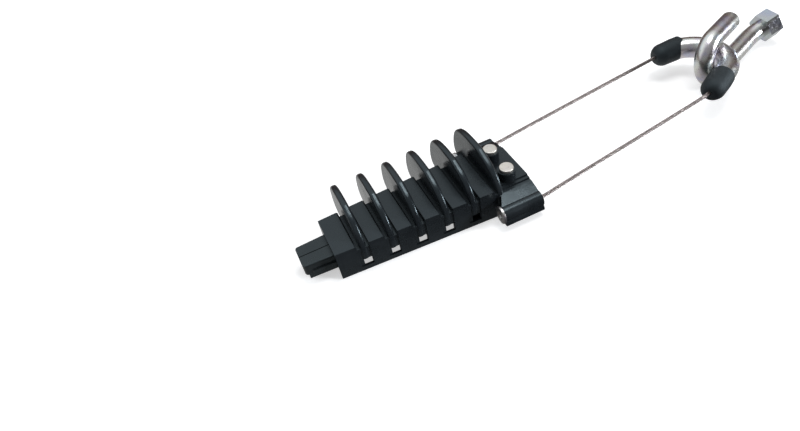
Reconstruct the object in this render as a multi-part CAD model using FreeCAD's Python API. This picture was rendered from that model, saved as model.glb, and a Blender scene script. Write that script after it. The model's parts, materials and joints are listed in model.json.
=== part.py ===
import FreeCAD, Part
import math
import os

V = FreeCAD.Vector

# Insulated strain clamp for an overhead service cable, lying on a flat surface.
# Two wedge jaws grip the cable inside a ribbed plastic body, and a wire-rope bail
# links the body to a bent steel thimble tube and a suspension hook.
# X runs along the cable from the nose to the hook, Z is up, lengths in millimetres.
# The origin is the centre of the cable bore at the front face of the jaws.

# Cable and jaws
CABLE_DIA = 10.0
JAW_LENGTH = 142.0
JAW_REACH = 27.0            # how far the jaws stand out of the body when they grip
JAW_HALF_HEIGHT = 8.4
JAW_PARTING = 0.8           # space left between the two jaws
JAW_EDGE_ROUND = 1.4
JAW_NOSE_ROUND = 4.0
JAW_STEP_LENGTH = 2.7       # set-back below the nose
JAW_STEP_TOP = -3.0
JAW_CLEARANCE = 0.08        # running clearance to the guide walls
WEDGE_ANGLE = 2.8
TONGUE_START = 6.0
TONGUE_HALF_HEIGHT = 1.5
TONGUE_DEPTH = 1.5
TONGUE_CLEARANCE = 0.12
JAW_HEAD_CLEARANCE = 0.8    # above the jaws, under the roof
GRIP_START = 31.0
GRIP_PITCH = 7.0
GRIP_WIDTH = 3.0
GRIP_DEPTH = 0.8
JAW_TRAVEL = 30.0

# Body
BODY_HALF_WIDTH = 22.2      # at the front face
BASE_DEPTH = 14.0           # cable axis above the resting surface
BLOCK_TOP = 17.0
GROOVE_FLOOR = 12.0
GROOVE_SIDE_DEPTH = 1.0
BASE_STRIP_TOP = -9.1
FIRST_BLOCK_LENGTH = 18.56
BLOCK_LENGTH = 13.79
RIB_PITCH = 25.0
RIB_COUNT = 6
BLOCK_BEVEL = 1.2
GUIDE_WALL = 8.3
GUIDE_BOTTOM = -4.1
SKIRT_WALL = 2.5

# Fins
FIN_THICKNESS = 6.0
FIN_EDGE_ROUND = 2.2
FIN_HEIGHT = 38.5
FIN_SHOULDER = 6.0          # where the upright near edge ends and the curve starts
FIN_FOOT = -1.0
FIN_CREST_SHIFT = 12.25     # the crest stands beyond the centre line
FIN_FAR_REACH = 24.5        # the far edge stands beyond the body side
FIN_UNDER_DEPTH = 14.0
FIN_FULLNESS = 3.0          # how square the far shoulder is, 2 is an ellipse

# Windows in the skirt below the fins
WINDOW_COUNT = 5
WINDOW_LENGTH = 7.3
WINDOW_SHIFT = 1.4
WINDOW_TOP = -1.5

# Tail
TAIL_SETBACK = 0.3          # wing behind the last fin's rounded front edge
TAIL_LENGTH = 31.3
TAIL_DECK = 12.4
DECK_HALF_WIDTH = 21.0
RIDGE_WIDTH = 3.5
RIDGE_DROP = 1.2
WING_BOTTOM = -8.0
LIP_REACH = 0.5
LIP_HEIGHT = 2.0
ROPE_SPREAD = 41.0          # rope tube from the centre line
ROPE_TUBE_RADIUS = 7.0
ROPE_TUBE_NOSE = 5.7        # tube in front of the deck
WING_SWEEP_GAP = 1.0        # from the body's side to where the wing's front edge slants forward
CABLE_SLOT_HALF_WIDTH = 8.0
CABLE_SLOT_TOP = 7.0
JAW_END_CLEARANCE = 6.0

# Keeper plate and its two pins
KEEPER_FRONT = 139.0
KEEPER_THICKNESS = 3.0
KEEPER_REAR_WALL = 2.0
KEEPER_CLEARANCE = 0.2
PIN_SETBACK = 16.4          # pin axis in front of the tail end
PIN_SPREAD = 14.2
PIN_DIA = 8.0
PIN_HEAD_DIA = 12.6
PIN_HEAD_HEIGHT = 2.7
PIN_HEAD_ROUND = 0.8
PIN_BOSS_DIA = 15.5
PIN_BOSS_HEIGHT = 8.8
PIN_CLEARANCE = 0.1

# Wire rope and its crimped ends
ROPE_DIA = 3.5
ROPE_CLEARANCE = 0.1
FERRULE_DIA = 15.8
FERRULE_FLANGE = 2.0
FERRULE_SHANK_DIA = 7.0
FERRULE_SHANK_LENGTH = 12.0
FERRULE_POCKET_DIA = 7.6
FERRULE_POCKET_DEPTH = 1.0
FERRULE_ROUND = 0.6

# Bail, drawn flat and then tilted about the tail end, measured from the tail end
EYE_CENTRE = (207.85, 21.95)
EYE_RADIUS = 32.6
NEAR_HEADING = 26.91        # of the straight line from a boot's mouth into the eye
FAR_HEADING = -3.33
NEAR_STRAIGHT = 35.6        # from a boot's mouth to the start of the eye's bend
FAR_STRAIGHT = 15.66
BAIL_ROLL = -3.6            # the far side lies a little lower
EXIT_BEND = 60.0
MOUTH_BEND = 34.0

# Thimble tube and the boots on its ends
TUBE_DIA = 20.5
TUBE_WALL = 2.5
BOOT_LAP = 14.0             # from a boot's mouth to the tube end inside it
BOOT_DIA = 22.8
BOOT_MOUTH_DIA = 12.0
BOOT_NOSE_LENGTH = 9.0
BOOT_REAR_WALL = 0.9
BOOT_REAR_TAPER = 8.0
BOOT_LENGTH = 29.0
BOOT_CLEARANCE = 0.1

# Suspension hook and its threaded hexagon
HOOK_ROD_DIA = 18.0
HOOK_CLEARANCE = 0.28       # between the tube and each leg of the hook
HOOK_HEADING = 21.2
HOOK_RISE = 0.9             # of the shank over the bail's plane
HOOK_LEAN = 8.65            # of the hook's plane from the bail's normal
HOOK_POINT_ON_EYE = -1.0    # where on the tube bend the hook sits
HOOK_SLACK = 6.55           # tube in front of the hook's bend centre
HOOK_POINT_LENGTH = 33.2
HOOK_SHANK_LENGTH = 64.5
HOOK_SWEEP_RADIUS = 45.0
HOOK_SWEEP_ANGLE = 23.3
HOOK_SWEEP_LIFT = 28.5      # of the sweep's direction over the level
HOOK_NECK = 1.5
HOOK_TIP_ROUND = 1.2
NUT_FLATS = 26.0
NUT_LENGTH = 14.0
NUT_CHAMFER = 2.2
NUT_HOLE_DIA = 14.0

# Sizes that follow from the ones above
CABLE_RADIUS = CABLE_DIA / 2
ROPE_RADIUS = ROPE_DIA / 2
TUBE_RADIUS = TUBE_DIA / 2
ROD_RADIUS = HOOK_ROD_DIA / 2
WEDGE_SLOPE = math.tan(math.radians(WEDGE_ANGLE))
FLOOR = -BASE_DEPTH
BODY_FRONT = JAW_REACH
GUIDE_TOP = JAW_HALF_HEIGHT + JAW_HEAD_CLEARANCE
GROOVE_LENGTH = RIB_PITCH - BLOCK_LENGTH
LAST_BLOCK_END = BODY_FRONT + FIRST_BLOCK_LENGTH + (RIB_COUNT - 1) * RIB_PITCH
LAST_FIN_X = LAST_BLOCK_END + GROOVE_LENGTH / 2
TAIL_FRONT = LAST_FIN_X - FIN_THICKNESS / 2 + FIN_EDGE_ROUND + TAIL_SETBACK
TAIL_END = TAIL_FRONT + TAIL_LENGTH
GUIDE_END = JAW_LENGTH + JAW_TRAVEL + JAW_END_CLEARANCE
TUBE_NOSE_X = TAIL_FRONT - ROPE_TUBE_NOSE
FERRULE_FACE = TUBE_NOSE_X - FERRULE_FLANGE
ROPE_START = FERRULE_FACE + FERRULE_POCKET_DEPTH
KEEPER_END = TAIL_END - KEEPER_REAR_WALL
KEEPER_TOP = FLOOR + KEEPER_THICKNESS
PIN_X = TAIL_END - PIN_SETBACK
PIN_SEAT = TAIL_DECK + PIN_BOSS_HEIGHT
HOOK_BEND_RADIUS = (ROD_RADIUS + TUBE_RADIUS + HOOK_CLEARANCE) / math.cos(math.radians(HOOK_LEAN))
PAST = 1.0                  # how far a cutting solid runs past the face that it opens


def half_width(x):
    """Half of the body's width at x, which grows with the wedge angle."""
    return BODY_HALF_WIDTH + WEDGE_SLOPE * (x - BODY_FRONT)


def fin_x(index):
    """Middle of a fin, which stands in the middle of its groove."""
    return BODY_FRONT + FIRST_BLOCK_LENGTH + index * RIB_PITCH + GROOVE_LENGTH / 2


def face_of(points):
    return Part.Face(Part.makePolygon(list(points) + [points[0]]))


def prism_z(points, bottom, top):
    """Upright prism on a plan outline of x, y pairs."""
    outline = face_of([V(x, y, bottom) for x, y in points])
    return outline.extrude(V(0, 0, top - bottom))


def wedge(start, end, inset, bottom, top):
    """Block whose sides run parallel to the body's sides, inset from them."""
    a = half_width(start) - inset
    b = half_width(end) - inset
    return prism_z([(start, -a), (end, -b), (end, b), (start, a)], bottom, top)


def box(x0, x1, y0, y1, z0, z1):
    return Part.makeBox(x1 - x0, y1 - y0, z1 - z0, V(x0, y0, z0))


def both_sides(shape):
    return [shape, shape.mirror(V(0, 0, 0), V(0, 1, 0))]


def joined(shapes):
    return shapes[0].multiFuse(shapes[1:]).removeSplitter()


def cut_away(shape, tools):
    """Cut the tools one after the other, which may overlap each other."""
    for tool in tools:
        shape = shape.cut(tool)
    return shape


def save(shape, name):
    solids = shape.Solids
    if len(solids) == 1:
        shape = solids[0]
    shape.exportStep("parts/" + name + ".step")


# Body

def block(start, end):
    """One raised block with a bevel along its rear top edge."""
    solid = wedge(start, end, 0, FLOOR, BLOCK_TOP)
    reach = half_width(end) + PAST
    bevel = face_of([
        V(end - BLOCK_BEVEL, -reach, BLOCK_TOP),
        V(end, -reach, BLOCK_TOP),
        V(end, -reach, BLOCK_TOP - BLOCK_BEVEL),
    ]).extrude(V(0, 2 * reach, 0))
    return solid.cut(bevel)


def fin(x):
    """Rain fin: upright near edge, a high crest beyond the centre, full far shoulder."""
    side = half_width(x)
    left = x - FIN_THICKNESS / 2
    near_half = side + FIN_CREST_SHIFT
    far_half = side + FIN_FAR_REACH - FIN_CREST_SHIFT
    rise = FIN_HEIGHT - FIN_SHOULDER

    def at(y, z):
        return V(left, y, z)

    def near_curve(turn):
        return at(FIN_CREST_SHIFT - near_half * math.cos(turn), FIN_SHOULDER + rise * math.sin(turn))

    def far_curve(turn):
        power = 2 / FIN_FULLNESS
        across = far_half * math.cos(turn) ** power
        up = rise * math.sin(turn) ** power
        return at(FIN_CREST_SHIFT + across, FIN_SHOULDER + up)

    def under_curve(turn):
        return at(FIN_CREST_SHIFT + far_half * math.cos(turn), FIN_SHOULDER - FIN_UNDER_DEPTH * math.sin(turn))

    steps = 6
    near_points = [near_curve(math.pi / 2 * i / steps) for i in range(steps + 1)]
    far_points = [far_curve(math.pi / 2 * (1 - i / steps)) for i in range(steps)]
    last_turn = math.asin(min((FIN_SHOULDER - FIN_FOOT) / FIN_UNDER_DEPTH, 1))
    far_points += [under_curve(last_turn * part) for part in (0, 0.5, 1)]
    near_edge = Part.BSplineCurve()
    near_edge.interpolate(near_points, InitialTangent=V(0, 0, 1), FinalTangent=V(0, 1, 0))
    inward = V(0, -far_half * math.sin(last_turn), -FIN_UNDER_DEPTH * math.cos(last_turn)).normalize()
    far_edge = Part.BSplineCurve()
    far_edge.interpolate(far_points, InitialTangent=V(0, 1, 0), FinalTangent=inward)
    foot = at(-side, FIN_FOOT)
    edges = [
        Part.LineSegment(foot, near_points[0]).toShape(),
        near_edge.toShape(),
        far_edge.toShape(),
        Part.LineSegment(far_points[-1], foot).toShape(),
    ]
    solid = Part.Face(Part.Wire(edges)).extrude(V(FIN_THICKNESS, 0, 0))
    rim = [
        edge for edge in solid.Edges
        if edge.BoundBox.XLength < 0.01 and edge.BoundBox.ZMax > FIN_FOOT + 0.01
    ]
    return solid.makeFillet(min(FIN_EDGE_ROUND, FIN_THICKNESS / 2 - 0.1), rim)


def wing():
    """Far half of the tail's section: stepped deck, rope tube and bottom lip."""
    deck_edge = DECK_HALF_WIDTH
    ridge_edge = deck_edge + RIDGE_WIDTH
    outer_edge = ridge_edge + RIDGE_WIDTH
    first_step = TAIL_DECK - RIDGE_DROP
    second_step = first_step - RIDGE_DROP

    def on_tube(angle):
        turn = math.radians(angle)
        return (ROPE_SPREAD + ROPE_TUBE_RADIUS * math.cos(turn), ROPE_TUBE_RADIUS * math.sin(turn))

    lip = ROPE_SPREAD + ROPE_TUBE_RADIUS + LIP_REACH
    points = [
        (0, WING_BOTTOM), (0, TAIL_DECK), (deck_edge, TAIL_DECK), (deck_edge, first_step),
        (ridge_edge, first_step), (ridge_edge, second_step), (outer_edge, second_step),
        (ROPE_SPREAD - ROPE_TUBE_RADIUS + 1, ROPE_TUBE_RADIUS + 1), on_tube(107),
    ]
    ends = [on_tube(-30), (lip, WING_BOTTOM + LIP_HEIGHT), (lip, WING_BOTTOM), (0, WING_BOTTOM)]

    def at(pair):
        return V(TUBE_NOSE_X, pair[0], pair[1])

    edges = [Part.LineSegment(at(a), at(b)).toShape() for a, b in zip(points, points[1:])]
    edges.append(Part.Arc(at(on_tube(107)), at(on_tube(40)), at(on_tube(-30))).toShape())
    edges += [Part.LineSegment(at(a), at(b)).toShape() for a, b in zip(ends, ends[1:])]
    solid = Part.Face(Part.Wire(edges)).extrude(V(TAIL_END - TUBE_NOSE_X, 0, 0))
    front = TUBE_NOSE_X - PAST
    open_front = prism_z([
        (front, -PAST), (TAIL_FRONT, -PAST), (TAIL_FRONT, half_width(TAIL_FRONT) + WING_SWEEP_GAP),
        (TUBE_NOSE_X, ROPE_SPREAD), (front, ROPE_SPREAD),
    ], WING_BOTTOM - PAST, TAIL_DECK + PAST)
    return solid.cut(open_front)


def cylinder_x(radius, start, end, y, z=0.0):
    return Part.makeCylinder(radius, end - start, V(start, y, z), V(1, 0, 0))


def body_outside():
    solids = [
        wedge(BODY_FRONT, TAIL_END, 0, FLOOR, BASE_STRIP_TOP),
        wedge(BODY_FRONT, TAIL_FRONT, GROOVE_SIDE_DEPTH, BASE_STRIP_TOP, GROOVE_FLOOR),
        wedge(TAIL_FRONT, TAIL_END, 0, BASE_STRIP_TOP, WING_BOTTOM + LIP_HEIGHT),
        block(BODY_FRONT, BODY_FRONT + FIRST_BLOCK_LENGTH),
    ]
    for index in range(1, RIB_COUNT):
        end = BODY_FRONT + FIRST_BLOCK_LENGTH + index * RIB_PITCH
        solids.append(block(end - BLOCK_LENGTH, end))
    for index in range(RIB_COUNT):
        solids.append(fin(fin_x(index)))
    solids += both_sides(wing())
    solids += both_sides(cylinder_x(ROPE_TUBE_RADIUS, TUBE_NOSE_X, TAIL_END, ROPE_SPREAD))
    boss = Part.makeCylinder(PIN_BOSS_DIA / 2, PIN_BOSS_HEIGHT + PAST, V(PIN_X, PIN_SPREAD, TAIL_DECK - PAST))
    solids += both_sides(boss)
    return joined(solids)


def body_hollows():
    """The jaw guide, the open skirt, the windows, and the seats in the tail."""
    start = BODY_FRONT - PAST
    rail_inset = GUIDE_WALL - TONGUE_DEPTH - TONGUE_CLEARANCE
    rail = TONGUE_HALF_HEIGHT + TONGUE_CLEARANCE
    tools = [
        wedge(start, GUIDE_END, GUIDE_WALL, GUIDE_BOTTOM - PAST, GUIDE_TOP),
        wedge(start, GUIDE_END, rail_inset, -rail, rail),
        wedge(start, GUIDE_END, SKIRT_WALL, FLOOR - PAST, GUIDE_BOTTOM),
        wedge(GUIDE_END - PAST, KEEPER_END + KEEPER_CLEARANCE, SKIRT_WALL, FLOOR - PAST, KEEPER_TOP),
        box(GUIDE_END - PAST, TAIL_END + PAST, -CABLE_SLOT_HALF_WIDTH, CABLE_SLOT_HALF_WIDTH,
            FLOOR - PAST, CABLE_SLOT_TOP),
    ]
    for index in range(WINDOW_COUNT):
        middle = fin_x(index) + WINDOW_SHIFT
        reach = half_width(middle) + PAST
        tools.append(box(middle - WINDOW_LENGTH / 2, middle + WINDOW_LENGTH / 2,
                         -reach, reach, BASE_STRIP_TOP, WINDOW_TOP))
    bore = cylinder_x(ROPE_RADIUS + ROPE_CLEARANCE, TUBE_NOSE_X - PAST, TAIL_END + PAST, ROPE_SPREAD)
    socket = cylinder_x(FERRULE_SHANK_DIA / 2 + ROPE_CLEARANCE, TUBE_NOSE_X - PAST,
                        TUBE_NOSE_X + FERRULE_SHANK_LENGTH + ROPE_CLEARANCE, ROPE_SPREAD)
    hole = Part.makeCylinder(PIN_DIA / 2 + PIN_CLEARANCE, PIN_SEAT - FLOOR + 2 * PAST,
                             V(PIN_X, PIN_SPREAD, FLOOR - PAST))
    for tool in (bore, socket, hole):
        tools += both_sides(tool)
    return tools


def housing():
    return cut_away(body_outside(), body_hollows())


# Wedge jaws

def jaw_outer(x):
    """Outer face of a jaw from the centre line, parallel to the guide wall."""
    return half_width(x) - GUIDE_WALL - JAW_CLEARANCE


def jaw_section(reach, half_height, corner):
    """Section at the nose plane from well inside the centre line out to reach, outer corners rounded."""
    inside = -reach
    low = half_height - corner
    turn = corner * (1 - math.sqrt(0.5))

    def at(y, z):
        return V(0, y, z)

    edges = [
        Part.LineSegment(at(inside, -half_height), at(reach - corner, -half_height)).toShape(),
        Part.Arc(at(reach - corner, -half_height), at(reach - turn, turn - half_height),
                 at(reach, -low)).toShape(),
        Part.LineSegment(at(reach, -low), at(reach, low)).toShape(),
        Part.Arc(at(reach, low), at(reach - turn, half_height - turn),
                 at(reach - corner, half_height)).toShape(),
        Part.LineSegment(at(reach - corner, half_height), at(inside, half_height)).toShape(),
        Part.LineSegment(at(inside, half_height), at(inside, -half_height)).toShape(),
    ]
    return Part.Face(Part.Wire(edges))


def nose_corner():
    """What is cut away to round the jaw's outer front corner in plan."""
    turn = math.radians(WEDGE_ANGLE)
    radius = JAW_NOSE_ROUND
    centre_y = jaw_outer(0) + WEDGE_SLOPE * radius - radius / math.cos(turn)
    touch = (radius - radius * math.sin(turn), centre_y + radius * math.cos(turn))
    bulge = math.radians(135 + WEDGE_ANGLE / 2)
    middle = (radius + radius * math.cos(bulge), centre_y + radius * math.sin(bulge))
    bottom = -JAW_HALF_HEIGHT - PAST
    outside = touch[1] + radius

    def at(pair):
        return V(pair[0], pair[1], bottom)

    edges = [
        Part.Arc(at((0, centre_y)), at(middle), at(touch)).toShape(),
        Part.LineSegment(at(touch), at((touch[0], outside))).toShape(),
        Part.LineSegment(at((touch[0], outside)), at((-PAST, outside))).toShape(),
        Part.LineSegment(at((-PAST, outside)), at((-PAST, centre_y))).toShape(),
        Part.LineSegment(at((-PAST, centre_y)), at((0, centre_y))).toShape(),
    ]
    return Part.Face(Part.Wire(edges)).extrude(V(0, 0, 2 * (JAW_HALF_HEIGHT + PAST)))


def jaw():
    """Far jaw: wedge outside, half round toothed cable channel inside."""
    along = V(JAW_LENGTH, JAW_LENGTH * WEDGE_SLOPE, 0)
    solid = jaw_section(jaw_outer(0), JAW_HALF_HEIGHT, JAW_EDGE_ROUND).extrude(along)
    tongue_start = jaw_outer(TONGUE_START)
    tongue_end = jaw_outer(JAW_LENGTH)
    tongue = prism_z([
        (TONGUE_START, tongue_start - PAST), (JAW_LENGTH, tongue_end - PAST),
        (JAW_LENGTH, tongue_end + TONGUE_DEPTH), (TONGUE_START + TONGUE_DEPTH, jaw_outer(
            TONGUE_START + TONGUE_DEPTH) + TONGUE_DEPTH), (TONGUE_START, tongue_start),
    ], -TONGUE_HALF_HEIGHT, TONGUE_HALF_HEIGHT)
    solid = solid.fuse(tongue)
    inner = JAW_PARTING / 2
    tools = [
        nose_corner(),
        box(-PAST, JAW_LENGTH + PAST, -jaw_outer(JAW_LENGTH), inner,
            -JAW_HALF_HEIGHT - PAST, JAW_HALF_HEIGHT + PAST),
        cylinder_x(CABLE_RADIUS, -PAST, JAW_LENGTH + PAST, 0),
        box(-PAST, JAW_STEP_LENGTH, -PAST, half_width(0), -JAW_HALF_HEIGHT - PAST, JAW_STEP_TOP),
    ]
    count = int((JAW_LENGTH - GRIP_START) / GRIP_PITCH)
    for index in range(count):
        start = GRIP_START + index * GRIP_PITCH
        tools.append(cylinder_x(CABLE_RADIUS + GRIP_DEPTH, start, start + GRIP_WIDTH, 0))
    return cut_away(solid, tools).removeSplitter()


# Keeper plate and pins

def keeper_plate():
    inset = SKIRT_WALL + KEEPER_CLEARANCE
    plate = wedge(KEEPER_FRONT, KEEPER_END, inset, FLOOR, KEEPER_TOP)
    hole = Part.makeCylinder(PIN_DIA / 2 + PIN_CLEARANCE, KEEPER_THICKNESS + 2 * PAST,
                             V(PIN_X, PIN_SPREAD, FLOOR - PAST))
    return cut_away(plate, both_sides(hole))


def pin():
    """Far pin: flat round head on the boss, shank down through the keeper plate."""
    shank = Part.makeCylinder(PIN_DIA / 2, PIN_SEAT - FLOOR, V(PIN_X, PIN_SPREAD, FLOOR))
    head = Part.makeCylinder(PIN_HEAD_DIA / 2, PIN_HEAD_HEIGHT, V(PIN_X, PIN_SPREAD, PIN_SEAT))
    top = [edge for edge in head.Edges if edge.BoundBox.ZMin > PIN_SEAT + PIN_HEAD_HEIGHT - 0.01]
    head = head.makeFillet(min(PIN_HEAD_ROUND, PIN_HEAD_HEIGHT - 0.1), top)
    return shank.fuse(head).removeSplitter()


def ferrule():
    """Far crimped stop: flanged sleeve with a shallow pocket round the rope's cut end."""
    flange = cylinder_x(FERRULE_DIA / 2, FERRULE_FACE, TUBE_NOSE_X, ROPE_SPREAD)
    front = [edge for edge in flange.Edges if edge.BoundBox.XMax < FERRULE_FACE + 0.01]
    flange = flange.makeFillet(min(FERRULE_ROUND, FERRULE_FLANGE - 0.1), front)
    shank = cylinder_x(FERRULE_SHANK_DIA / 2, TUBE_NOSE_X - PAST / 2,
                       TUBE_NOSE_X + FERRULE_SHANK_LENGTH, ROPE_SPREAD)
    bore = cylinder_x(ROPE_RADIUS + ROPE_CLEARANCE, FERRULE_FACE - PAST,
                      TUBE_NOSE_X + FERRULE_SHANK_LENGTH + PAST, ROPE_SPREAD)
    pocket = cylinder_x(FERRULE_POCKET_DIA / 2, FERRULE_FACE - PAST, ROPE_START, ROPE_SPREAD)
    return cut_away(flange.fuse(shank), [bore, pocket]).removeSplitter()


# Bail: the flat layout, its tilt, and the hook's own directions

def heading(angle):
    turn = math.radians(angle)
    return V(math.cos(turn), math.sin(turn), 0)


def eye_point(angle):
    """A point of the eye's circle on the flat layout."""
    return V(EYE_CENTRE[0], EYE_CENTRE[1], 0) + heading(angle) * EYE_RADIUS


# Each leg's straight line into the eye: its direction, its touching point and the boot's mouth
NEAR_WAY = heading(NEAR_HEADING)
FAR_WAY = heading(FAR_HEADING)
NEAR_TOUCH = eye_point(NEAR_HEADING - 90)
FAR_TOUCH = eye_point(FAR_HEADING + 90)
NEAR_MOUTH = NEAR_TOUCH - NEAR_WAY * NEAR_STRAIGHT
FAR_MOUTH = FAR_TOUCH - FAR_WAY * FAR_STRAIGHT


def tilt(pitch):
    return FreeCAD.Rotation(V(0, 1, 0), -pitch).multiply(FreeCAD.Rotation(V(1, 0, 0), BAIL_ROLL))


def hook_directions(spin):
    """Along the shank, and from the shank to the hook's point."""
    rise = math.radians(HOOK_RISE)
    flat = heading(HOOK_HEADING)
    along = spin.multVec(flat * math.cos(rise) + V(0, 0, 1) * math.sin(rise))
    up = spin.multVec(V(0, 0, 1) * math.cos(rise) - flat * math.sin(rise))
    lean = math.radians(HOOK_LEAN)
    return along, up * math.cos(lean) + up.cross(along) * math.sin(lean)


def bail_pitch():
    """Rise of the bail at which the hook's bend rests on the surface."""
    seat = eye_point(HOOK_POINT_ON_EYE)
    pitch = 0.0
    for _ in range(10):
        spin = tilt(pitch)
        along, across = hook_directions(spin)
        centre_z = FLOOR + ROD_RADIUS + HOOK_BEND_RADIUS * math.hypot(across.z, along.z)
        rise = centre_z + HOOK_SLACK * along.z - spin.multVec(seat).z
        pitch += math.degrees(rise / seat.x)
    return pitch


BAIL_PITCH = bail_pitch()
TILT = tilt(BAIL_PITCH)


def on_bail(point):
    return V(TAIL_END, 0, 0) + TILT.multVec(point)


def rounded_path(points, radii):
    """Straight runs through the points, joined by tangent arcs of the given radii."""
    edges = []
    last = points[0]
    for before, corner, after, radius in zip(points, points[1:], points[2:], radii):
        back = (before - corner).normalize()
        ahead = (after - corner).normalize()
        half = back.getAngle(ahead) / 2
        reach = radius / math.tan(half)
        start = corner + back * reach
        end = corner + ahead * reach
        inward = (back + ahead).normalize()
        middle = corner + inward * (radius / math.sin(half) - radius)
        edges.append(Part.LineSegment(last, start).toShape())
        edges.append(Part.Arc(start, middle, end).toShape())
        last = end
    edges.append(Part.LineSegment(last, points[-1]).toShape())
    return Part.Wire(edges)


def swept(path, radius):
    first = path.Edges[0]
    start = first.Vertexes[0].Point
    direction = first.tangentAt(first.FirstParameter)
    ring = Part.Wire(Part.makeCircle(radius, start, direction))
    return path.makePipeShell([ring], True, False)


def eye_corner():
    """Where the two straight lines into the eye would meet if they were not bent."""
    gap = FAR_MOUTH - NEAR_MOUTH
    ahead = gap.x * FAR_WAY.y - gap.y * FAR_WAY.x
    run = ahead / (NEAR_WAY.x * FAR_WAY.y - NEAR_WAY.y * FAR_WAY.x)
    return NEAR_MOUTH + NEAR_WAY * run


def rope_path():
    """From ferrule to ferrule: through the tail, along both legs and round the eye."""
    points = [
        V(ROPE_START, -ROPE_SPREAD, 0),
        V(TAIL_END, -ROPE_SPREAD, 0),
        on_bail(NEAR_MOUTH),
        on_bail(eye_corner()),
        on_bail(FAR_MOUTH),
        V(TAIL_END, ROPE_SPREAD, 0),
        V(ROPE_START, ROPE_SPREAD, 0),
    ]
    return rounded_path(points, [EXIT_BEND, MOUTH_BEND, EYE_RADIUS, MOUTH_BEND, EXIT_BEND])


def rope():
    return swept(rope_path(), ROPE_RADIUS)


def tube_path():
    """Centre line of the bent tube, from the lap in one boot to the lap in the other."""
    points = [NEAR_MOUTH + NEAR_WAY * BOOT_LAP, eye_corner(), FAR_MOUTH + FAR_WAY * BOOT_LAP]
    return rounded_path([on_bail(point) for point in points], [EYE_RADIUS])


def thimble_tube():
    path = tube_path()
    return swept(path, TUBE_RADIUS).cut(swept(path, TUBE_RADIUS - TUBE_WALL))


def boot(mouth, turn):
    """Moulded boot, turned about the straight line from its mouth into the tube."""
    nose = BOOT_DIA / 2
    rear = TUBE_RADIUS + BOOT_REAR_WALL
    mouth_radius = BOOT_MOUTH_DIA / 2
    points = [
        V(0, 0, 0), V(0, mouth_radius, 0), V(BOOT_NOSE_LENGTH, nose - 0.4, 0),
        V(BOOT_LENGTH - BOOT_REAR_TAPER, nose, 0), V(BOOT_LENGTH, rear, 0), V(BOOT_LENGTH, 0, 0),
    ]
    edges = [
        Part.LineSegment(points[0], points[1]).toShape(),
        Part.Arc(points[1], V(BOOT_NOSE_LENGTH * 0.35, mouth_radius + (nose - mouth_radius) * 0.62, 0),
                 points[2]).toShape(),
    ]
    edges += [Part.LineSegment(a, b).toShape() for a, b in zip(points[2:], points[3:] + points[:1])]
    solid = Part.Face(Part.Wire(edges)).revolve(V(0, 0, 0), V(1, 0, 0), 360)
    solid.rotate(V(0, 0, 0), V(0, 0, 1), turn)
    solid.translate(mouth)
    solid.Placement = FreeCAD.Placement(V(TAIL_END, 0, 0), TILT).multiply(solid.Placement)
    return solid


def boots():
    """Both boots, opened for the tube end and for the rope."""
    tools = [
        swept(tube_path(), TUBE_RADIUS + BOOT_CLEARANCE),
        swept(rope_path(), ROPE_RADIUS + ROPE_CLEARANCE),
    ]
    return [
        cut_away(boot(NEAR_MOUTH, NEAR_HEADING), tools),
        cut_away(boot(FAR_MOUTH, FAR_HEADING), tools),
    ]


# Hook

def hook_layout():
    """Hook centre line, and where and which way its hexagon sits."""
    along, across = hook_directions(TILT)
    seat = on_bail(eye_point(HOOK_POINT_ON_EYE))
    centre = seat - along * HOOK_SLACK
    shank_start = centre - across * HOOK_BEND_RADIUS
    point_start = centre + across * HOOK_BEND_RADIUS
    point_end = point_start + along * HOOK_POINT_LENGTH
    back = centre - along * HOOK_BEND_RADIUS
    shank_end = shank_start + along * HOOK_SHANK_LENGTH
    turn = math.radians(HOOK_SWEEP_ANGLE)
    level = along.cross(V(0, 0, 1)).normalize()
    lift = math.radians(HOOK_SWEEP_LIFT)
    aside = level * math.cos(lift) + level.cross(along) * math.sin(lift)

    def swept_point(angle):
        forward = along * (HOOK_SWEEP_RADIUS * math.sin(angle))
        return shank_end + forward + aside * (HOOK_SWEEP_RADIUS * (1 - math.cos(angle)))

    neck_start = swept_point(turn)
    axis = along * math.cos(turn) + aside * math.sin(turn)
    neck_end = neck_start + axis * HOOK_NECK
    path = Part.Wire([
        Part.LineSegment(point_end, point_start).toShape(),
        Part.Arc(point_start, back, shank_start).toShape(),
        Part.LineSegment(shank_start, shank_end).toShape(),
        Part.Arc(shank_end, swept_point(turn / 2), neck_start).toShape(),
        Part.LineSegment(neck_start, neck_end).toShape(),
    ])
    return path, neck_end, axis


def hook():
    path, _, _ = hook_layout()
    solid = swept(path, ROD_RADIUS)
    tip = path.Edges[0].Vertexes[0].Point
    ring = [
        edge for edge in solid.Edges
        if abs(edge.Length - math.pi * HOOK_ROD_DIA) < 0.1 and edge.CenterOfMass.distanceToPoint(tip) < 0.1
    ]
    return solid.makeFillet(min(HOOK_TIP_ROUND, ROD_RADIUS - 0.1), ring)


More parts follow.
